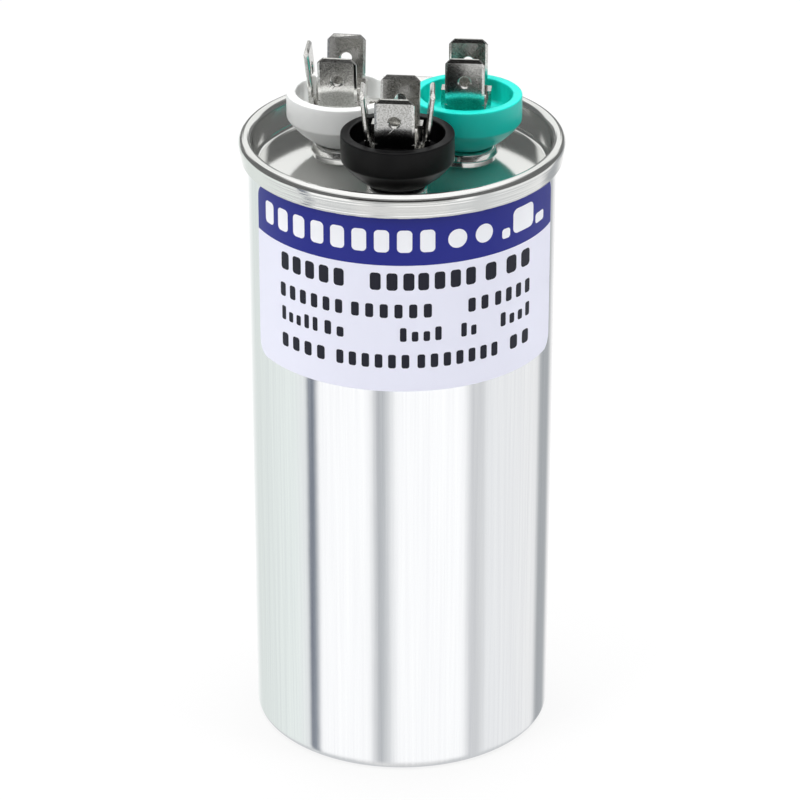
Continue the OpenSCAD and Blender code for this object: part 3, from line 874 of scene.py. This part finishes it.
@dataclass
class Bent:
    """Flat outlines laid round the can, measured from the label's middle and its lower edge."""

    radius: float
    turn: float        # degrees from the front to the label's middle
    base_z: float
    thickness: float
    step: float = 1.0  # width of the flat strips that follow the wall

    def outline(self, bm: bmesh.types.BMesh, left: float, low: float, width: float,
                height: float, corner: float) -> None:
        """Adds a flat rectangle with round corners, still to be bent.

        Args:
            bm: The mesh that receives it.
            left: Left edge, from the label's middle.
            low: Lower edge, from the label's lower edge.
            width: Width along the can's wall.
            height: Height.
            corner: Corner radius.
        """
        made = bmesh.ops.create_grid(bm, x_segments=1, y_segments=1, size=0.5)
        verts = made["verts"]
        bmesh.ops.scale(bm, verts=verts, vec=(width, height, 1.0))
        bmesh.ops.translate(bm, verts=verts, vec=(left + width / 2, low + height / 2, 0.0))
        if corner:
            bmesh.ops.bevel(bm, geom=verts, offset=corner, affect="VERTICES", segments=8,
                            profile=0.5, material=-1)

    def wrap(self, bm: bmesh.types.BMesh, name: str) -> bpy.types.Object:
        """Cuts the outlines into narrow strips, lays them round the can and gives them thickness.

        Args:
            bm: A flat mesh of outlines, in millimetres.
            name: The object's name.

        Returns:
            The piece.
        """
        low = min(vert.co.x for vert in bm.verts)
        high = max(vert.co.x for vert in bm.verts)
        cut = low + self.step
        while cut < high:
            geometry = [*bm.verts, *bm.edges, *bm.faces]
            bmesh.ops.bisect_plane(bm, geom=geometry, dist=1e-5, plane_co=(cut, 0, 0),
                                   plane_no=(1, 0, 0))
            cut += self.step
        for vert in bm.verts:
            angle = vert.co.x / self.radius + math.radians(self.turn)
            vert.co = Vector((self.radius * math.sin(angle), -self.radius * math.cos(angle),
                              self.base_z + vert.co.y)) * MM
        outward = list(bm.faces)
        bmesh.ops.recalc_face_normals(bm, faces=outward)
        for face in outward:
            middle = face.calc_center_median()
            if face.normal.dot(Vector((middle.x, middle.y, 0))) < 0:
                face.normal_flip()
        shell = bmesh.ops.extrude_face_region(bm, geom=outward)
        lifted = [item for item in shell["geom"] if isinstance(item, bmesh.types.BMVert)]
        for vert in lifted:
            way = Vector((vert.co.x, vert.co.y, 0)).normalized()
            vert.co += way * self.thickness * MM
        return finish_mesh(bm, name, sharp=50)


@dataclass(frozen=True)
class PrintLine:
    """A line of small plain blocks where a line of print would be."""

    low: float                         # mm from the label's lower edge
    height: float                      # mm
    pitch: float                       # mm between blocks, evened out over each word
    words: tuple[Point, ...]           # mm from the label's left edge, where each starts and stops
    rises: tuple[float, ...] = (1.0,)  # shares of the height that the blocks take in turn
    fill: float = 0.62                 # share of the pitch that a block fills
    corner: float = 0.3                # corner radius as a share of a block's width

    def draw(self, tool: Bent, bm: bmesh.types.BMesh, left: float) -> None:
        """Adds the blocks, all words in turn.

        Args:
            tool: The bending tool of the ink's layer.
            bm: The mesh that receives them.
            left: The label's left edge, from its middle.
        """
        for start, stop in self.words:
            count = max(1, round((stop - start) / self.pitch))
            step = (stop - start) / (count - 1 + self.fill)
            for index in range(count):
                rise = self.height * self.rises[index % len(self.rises)]
                width = step * self.fill
                tool.outline(bm, left + start + index * step, self.low, width, rise,
                             self.corner * width)


# Below the blue field.
FIELD_LINES = (
    PrintLine(17.7, 3.0, 2.45, fill=0.66, words=(
        (7.3, 19.8), (24.1, 31.2), (31.8, 41.4), (43.2, 45.3), (47.4, 53.1))),
    PrintLine(12.9, 2.4, 2.0, fill=0.56, words=(
        (7.0, 19.5), (21.0, 34.0), (40.1, 43.8), (45.1, 53.2))),
    PrintLine(8.8, 2.4, 1.55, fill=0.56, rises=(1.0, 0.72, 0.72, 1.0), words=(
        (7.3, 15.0), (16.3, 19.7), (28.9, 35.6), (38.9, 41.6), (46.3, 53.2))),
    PrintLine(4.1, 2.4, 2.0, fill=0.58, words=(
        (7.3, 16.3), (18.4, 30.4), (31.7, 45.7), (48.4, 53.0))),
)
# On the blue field, right of its blocks: two discs, and a plain badge between two small blocks.
# Left edge, rise over the blocks' foot, width, height and corner radius, in millimetres.
BAND_MARKS = (
    (36.6, 0.2, 3.2, 3.2, 1.58),
    (41.3, 0.2, 3.2, 3.2, 1.58),
    (46.4, -0.2, 1.7, 1.7, 0.5),
    (48.8, 0.0, 5.2, 4.2, 1.0),
    (54.7, -0.2, 2.8, 1.7, 0.5),
)


@dataclass
class Label:
    """The printed film label. Its words are replaced by plain blocks and simple marks."""

    can_r: float = field(default_factory=lambda: mount_radius("can_wall"))
    angle: float = 140.0      # degrees of the wall that it covers
    turn: float = 3.0         # degrees from the front to its middle
    corner: float = 2.5
    band_h: float = 8.0       # of the blue field
    marks_drop: float = 1.75  # from the blue field's middle to its blocks' foot
    glue_t: float = 0.01      # gap between the wall and the film
    film_t: float = 0.06
    ink_t: float = 0.006      # thicker than real ink, so that the layers stay apart

    def __post_init__(self) -> None:
        """Takes the label's height and place from its CAD node."""
        low, high = node_box("label")
        self.base_z = low.z
        self.height = high.z - low.z
        self.width = math.radians(self.angle) * self.can_r

    def layer(self, level: int) -> Bent:
        """The bending tool for the film, or for an ink laid on it.

        Args:
            level: 0 for the film, 1 or more for the inks above it.

        Returns:
            The tool for that layer.
        """
        if level == 0:
            return Bent(self.can_r + self.glue_t, self.turn, self.base_z, self.film_t)
        lift = self.glue_t + self.film_t + (level - 1) * self.ink_t
        return Bent(self.can_r + lift, self.turn, self.base_z, self.ink_t)

    def film(self) -> None:
        """The film itself."""
        tool = self.layer(0)
        bm = bmesh.new()
        tool.outline(bm, -self.width / 2, 0, self.width, self.height, self.corner)
        place(tool.wrap(bm, "label_film"), FILM.build(), ["label"])

    def band(self) -> None:
        """The blue field along the label's upper edge, cut to the film's round corners."""
        tool = self.layer(1)
        bm = bmesh.new()
        tool.outline(bm, -self.width / 2, 0, self.width, self.height, self.corner)
        bmesh.ops.bisect_plane(bm, geom=[*bm.verts, *bm.edges, *bm.faces], clear_inner=True,
                               plane_co=(0, self.height - self.band_h, 0), plane_no=(0, 1, 0))
        place(tool.wrap(bm, "label_band"), BLUE_INK.build())

    def marks_on_band(self) -> None:
        """White blocks, two discs and a plain badge on the blue field."""
        tool = self.layer(2)
        bm = bmesh.new()
        left = -self.width / 2
        low = self.height - self.band_h / 2 - self.marks_drop
        title = PrintLine(low, height=3.8, pitch=3.5, words=((2.9, 34.5),), fill=0.66)
        title.draw(tool, bm, left)
        for start, rise, width, height, corner in BAND_MARKS:
            tool.outline(bm, left + start, low + rise, width, height, corner)
        place(tool.wrap(bm, "label_marks_white"), WHITE_INK.build())

    def lines_on_field(self) -> None:
        """Dark blocks in place of the lines of print below the blue field."""
        tool = self.layer(1)
        bm = bmesh.new()
        for line in FIELD_LINES:
            line.draw(tool, bm, -self.width / 2)
        place(tool.wrap(bm, "label_lines_dark"), DARK_INK.build())

    def build(self) -> None:
        """Makes film, blue field and print."""
        self.film()
        self.band()
        self.marks_on_band()
        self.lines_on_field()


# ---------------------------------------------------------------- nodes kept from the frame


@dataclass
class KeptNodes:
    """CAD nodes that keep their meshes: the folded tabs, and what is sealed inside the can."""

    stampings: tuple[str, ...] = (
        "fork_white", "fork_black", "fork_green", "side_tab_white", "side_fork_black",
    )
    weld: float = 0.001       # mm, nearer corners of a stamping become one
    edge: float = 0.06        # mm, width of its broken edges
    edge_angle: float = 18.0  # degrees, edges that turn by more are broken

    def build(self) -> None:
        """Gives each kept node its finish."""
        shown = {piece["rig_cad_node"]: piece for piece in frame["nodes"].values()
                 if not piece.hide_render}
        for name, piece in shown.items():
            inner = next((own for key, own in SEALED_IN.items() if name.startswith(key)), None)
            finish = TIN if name in self.stampings else inner
            if finish is None:
                log.warning("%s keeps the frame's plain finish", name)
                continue
            piece.data.materials.clear()
            piece.data.materials.append(finish.build())
            if name in self.stampings:
                self.break_edges(piece)
            log.info("%s: kept, finish %s", name, finish.name)

    def break_edges(self, piece: bpy.types.Object) -> None:
        """Rounds a stamping's edges a little, as tumbling does, so that they catch the light.

        Args:
            piece: The node's object.
        """
        weld = piece.modifiers.new("weld", "WELD")
        weld.merge_threshold = self.weld * MM
        edge = piece.modifiers.new("broken_edges", "BEVEL")
        edge.width = self.edge * MM
        edge.segments = 2
        edge.limit_method = "ANGLE"
        edge.angle_limit = math.radians(self.edge_angle)
        edge.harden_normals = True


# ---------------------------------------------------------------- studio


# Grey and white panels round the object, by azimuth in degrees from the front, below zero to the
# left. The can's wall mirrors them as upright bands.
PANELS = (
    (-180, "#FFFFFF"), (-150, "#D8DEDB"), (-90, "#E6ECE9"), (-79, "#E8EAEA"), (-76, "#6E7480"),
    (-71, "#79808A"), (-66, "#FFFFFF"), (-26, "#FFFFFF"), (-18, "#B4B6B9"), (-15, "#B4B7BA"),
    (-3, "#FFFFFF"), (48, "#FFFFFF"), (56, "#CBCCCE"), (64, "#D4D5D6"), (70, "#E9EAEB"),
    (126, "#EAEAEA"), (134, "#A2A5A8"), (150, "#A6A9AC"), (160, "#E2E2E2"), (180, "#FFFFFF"),
)
# Elevations in degrees over which the panels' feet come up, and at which the panels begin to fade
# and end, aside and straight ahead.
PANEL_FEET = (-35.6, -33.6)
PANEL_TOPS = ((-9.0, -21.0), (-5.0, -17.5))
# Azimuths either side over which the unlit room ahead gives way to the room aside, and that to the
# backdrop behind.
AHEAD_TO_ASIDE = (34.0, 42.0)
ASIDE_TO_BEHIND = (132.0, 144.0)
# Tones of the room above and below the panels, by elevation in degrees.
ROOM_BEHIND = (
    (-90, "#C8C9CB"), (-36, "#CFD1D2"), (-15, "#707171"), (-4, "#666767"), (5, "#6A6B6B"),
    (15, "#777877"), (19, "#F0F1F0"), (36, "#E6E7E6"), (48, "#FFFFFF"),
)
ROOM_ASIDE = (
    (-90, "#C8C9CB"), (-36, "#CFD1D2"), (-15, "#707171"), (-4, "#666767"), (15, "#5E5F5F"),
    (34, "#585959"), (42, "#8A8B8A"), (52, "#FFFFFF"),
)
ROOM_AHEAD = (
    (-90, "#D0D0D0"), (-36, "#DADADA"), (-17, "#AEAEAE"), (-10, "#9E9E9E"), (-4, "#B0B0B0"),
    (1, "#282828"), (30, "#282828"), (36, "#7A7A7A"), (41, "#C8C8C8"), (50, "#FFFFFF"),
)
# Soft boxes: name, place, width and height in metres, and power in watts.
SOFT_BOXES = (
    ("softbox_left", (-0.7, -0.5, 0.75), (0.5, 0.7), 5.0),
    ("softbox_right", (0.8, -0.3, 0.6), (0.4, 0.7), 3.0),
    ("softbox_top", (0.0, 0.1, 0.95), (0.7, 0.6), 7.0),
)
# A colour Mix node's two colour inputs and its colour output.
MIX_A, MIX_B, MIXED = 6, 7, 2
WHITE = linear("#FFFFFF")


def sine(degrees: float) -> float:
    """The sine of an angle in degrees."""
    return math.sin(math.radians(degrees))


def rising(tones: Sequence[tuple[float, str]]) -> list[tuple[float, str]]:
    """Ramp stops for tones given by elevation, for a ramp from straight down to straight up."""
    return [((sine(elevation) + 1) / 2, tone) for elevation, tone in tones]


@dataclass
class Studio:
    """Floor, soft lights, the room that metal mirrors, and the camera. Lengths are in metres."""

    floor_size: float = 6.0
    floor_drop: float = 0.0001     # below the can, so that the two never share a plane
    floor_tone: str = "#E6E6E6"
    camera_white: float = 0.82     # share of plain white that the floor shows the camera
    glossy_white: float = 0.75     # the share for glossy rays, which it is hidden from
    aim: tuple[float, float, float] = (0.0, 0.0, 0.06)
    mirrored: float = 1.12         # strength of the room to the camera and in a mirror
    shed: float = 0.85             # strength of the room as it lights a dull surface
    lens: float = 168.74           # mm
    sensor: float = 36.0           # mm
    shift: float = -0.0025         # share of the frame's width
    nearest: float = 0.01
    look_down: float = 26.187      # degrees below level
    camera_at: tuple[float, float, float] = (0.0, -0.563475, 0.334092)

    def floor(self) -> None:
        """A plain pale floor that shows nearly white and keeps a soft shadow."""
        bm = bmesh.new()
        bmesh.ops.create_grid(bm, x_segments=8, y_segments=8, size=self.floor_size / 2)
        bmesh.ops.translate(bm, verts=bm.verts, vec=(0, 0, -self.floor_drop))
        plane = finish_mesh(bm, "studio_floor")
        material = bpy.data.materials.new("studio_floor_white")
        material.use_nodes = True
        tree = material.node_tree
        shader = tree.nodes["Principled BSDF"]
        shader.inputs["Base Color"].default_value = linear(self.floor_tone)
        shader.inputs["Roughness"].default_value = 0.9
        shader.inputs["Specular IOR Level"].default_value = 0.0
        path = add_node(tree, "ShaderNodeLightPath")
        white = add_node(tree, "ShaderNodeEmission", {"Color": WHITE, "Strength": 1.0})
        share = add_node(tree, "ShaderNodeMath", {
            0: path.outputs["Is Camera Ray"], 1: self.camera_white}, operation="MULTIPLY")
        glossy = add_node(tree, "ShaderNodeMath", {
            0: path.outputs["Is Glossy Ray"], 1: self.glossy_white, 2: share.outputs["Value"]},
            operation="MULTIPLY_ADD")
        mix = add_node(tree, "ShaderNodeMixShader", {
            0: glossy.outputs["Value"], 1: shader.outputs["BSDF"], 2: white.outputs["Emission"]})
        tree.links.new(mix.outputs["Shader"], tree.nodes["Material Output"].inputs["Surface"])
        plane.data.materials.append(material)
        plane.visible_glossy = False  # so that the wall's bands run down to the can's foot

    def lamp(self, name: str, place_at: Vector, size: tuple[float, float], power: float) -> None:
        """Adds a soft box that faces the middle of the can and stays out of reflections.

        Args:
            name: The lamp's name.
            place_at: Its place, in metres.
            size: Its width and height, in metres.
            power: Its power in watts.
        """
        data = bpy.data.lights.new(name, "AREA")
        data.shape = "RECTANGLE"
        data.size, data.size_y = size
        data.energy = power
        lamp = bpy.data.objects.new(name, data)
        lamp.location = place_at
        lamp.rotation_euler = (Vector(self.aim) - place_at).to_track_quat("-Z", "Y").to_euler()
        lamp.visible_glossy = False
        bpy.context.scene.collection.objects.link(lamp)

    def world(self) -> None:
        """White to the camera, and a room of dark and white panels to the object."""
        world = bpy.data.worlds.new("studio_room")
        world.use_nodes = True
        tree = world.node_tree
        path = add_node(tree, "ShaderNodeLightPath")
        coords = add_node(tree, "ShaderNodeTexCoord")
        way = add_node(tree, "ShaderNodeSeparateXYZ", {0: coords.outputs["Generated"]})
        rise = way.outputs["Z"]
        ahead = add_node(tree, "ShaderNodeMath", {0: way.outputs["Y"], 1: -1.0},
                         operation="MULTIPLY")
        angle = add_node(tree, "ShaderNodeMath", {
            0: way.outputs["X"], 1: ahead.outputs["Value"]}, operation="ARCTAN2")
        turned = add_node(tree, "ShaderNodeMath", {0: angle.outputs["Value"]},
                          operation="ABSOLUTE")

        # The panels, by azimuth.
        share = add_node(tree, "ShaderNodeMapRange", {
            "Value": angle.outputs["Value"], "From Min": -math.pi, "From Max": math.pi})
        panels = add_node(tree, "ShaderNodeValToRGB", {"Fac": share.outputs["Result"]},
                          stops=[((azimuth + 180) / 360, tone) for azimuth, tone in PANELS])

        # The room, by elevation, in three parts that fade into each other.
        level = add_node(tree, "ShaderNodeMapRange", {
            "Value": rise, "From Min": -1.0, "From Max": 1.0})
        rear, side, dark = (
            add_node(tree, "ShaderNodeValToRGB", {"Fac": level.outputs["Result"]},
                     stops=rising(tones)).outputs["Color"]
            for tones in (ROOM_BEHIND, ROOM_ASIDE, ROOM_AHEAD)
        )
        near, far = (math.radians(azimuth) for azimuth in AHEAD_TO_ASIDE)
        front = add_node(tree, "ShaderNodeMapRange", {
            "Value": turned.outputs["Value"], "From Min": near, "From Max": far,
            "To Min": 1.0, "To Max": 0.0}, interpolation_type="SMOOTHSTEP")
        near, far = (math.radians(azimuth) for azimuth in ASIDE_TO_BEHIND)
        behind = add_node(tree, "ShaderNodeMapRange", {
            "Value": turned.outputs["Value"], "From Min": near, "From Max": far},
            interpolation_type="SMOOTHSTEP")
        room = add_node(tree, "ShaderNodeMix", {
            "Factor": behind.outputs["Result"], MIX_A: side, MIX_B: rear}, data_type="RGBA")
        round_us = add_node(tree, "ShaderNodeMix", {
            "Factor": front.outputs["Result"], MIX_A: room.outputs[MIXED], MIX_B: dark},
            data_type="RGBA")

        # The panels stand in the room from their feet up to their tops, which lie lower ahead.
        low, high = (sine(elevation) for elevation in PANEL_FEET)
        above = add_node(tree, "ShaderNodeMapRange", {
            "Value": rise, "From Min": low, "From Max": high}, interpolation_type="SMOOTHSTEP")
        starts, stops = (
            add_node(tree, "ShaderNodeMapRange", {
                "Value": front.outputs["Result"], "To Min": sine(aside), "To Max": sine(in_front)})
            for aside, in_front in PANEL_TOPS
        )
        below = add_node(tree, "ShaderNodeMapRange", {
            "Value": rise, "From Min": starts.outputs["Result"],
            "From Max": stops.outputs["Result"], "To Min": 1.0, "To Max": 0.0},
            interpolation_type="SMOOTHSTEP")
        zone = add_node(tree, "ShaderNodeMath", {
            0: above.outputs["Result"], 1: below.outputs["Result"]}, operation="MULTIPLY")
        lit = add_node(tree, "ShaderNodeMix", {
            "Factor": zone.outputs["Value"], MIX_A: round_us.outputs[MIXED],
            MIX_B: panels.outputs["Color"]}, data_type="RGBA")

        seen = add_node(tree, "ShaderNodeMix", {
            "Factor": path.outputs["Is Camera Ray"], MIX_A: lit.outputs[MIXED], MIX_B: WHITE},
            data_type="RGBA")
        strength = add_node(tree, "ShaderNodeMapRange", {
            "Value": path.outputs["Is Diffuse Ray"], "To Min": self.mirrored, "To Max": self.shed})
        backdrop = tree.nodes["Background"]
        tree.links.new(seen.outputs[MIXED], backdrop.inputs["Color"])
        tree.links.new(strength.outputs["Result"], backdrop.inputs["Strength"])
        bpy.context.scene.world = world

    def camera(self) -> None:
        """A long lens that looks down on the lid from the front."""
        data = bpy.data.cameras.new("camera")
        data.lens = self.lens
        data.sensor_width = self.sensor
        data.shift_x = self.shift
        data.clip_start = self.nearest
        camera = bpy.data.objects.new("camera", data)
        camera.location = self.camera_at
        camera.rotation_euler = (math.radians(90 - self.look_down), 0.0, 0.0)
        bpy.context.scene.collection.objects.link(camera)
        bpy.context.scene.camera = camera

    def build(self) -> None:
        """Sets up the whole studio."""
        self.floor()
        for name, place_at, size, power in SOFT_BOXES:
            self.lamp(name, Vector(place_at), size, power)
        self.world()
        self.camera()
        bpy.context.scene.view_settings.view_transform = "Standard"
        log.info("studio ready")


def main() -> None:
    """Builds the capacitor's pieces in order, then the studio."""
    logging.basicConfig(level=logging.INFO, format="%(name)s: %(message)s")
    seam = DoubleSeam()
    Can(seam).build()
    Lid(seam).build()
    Label().build()
    for terminal in Terminal:
        Cup(terminal).build()
        Rivet(terminal).build()
    KeptNodes().build()
    Studio().build()


if __name__ == "__main__":
    main()
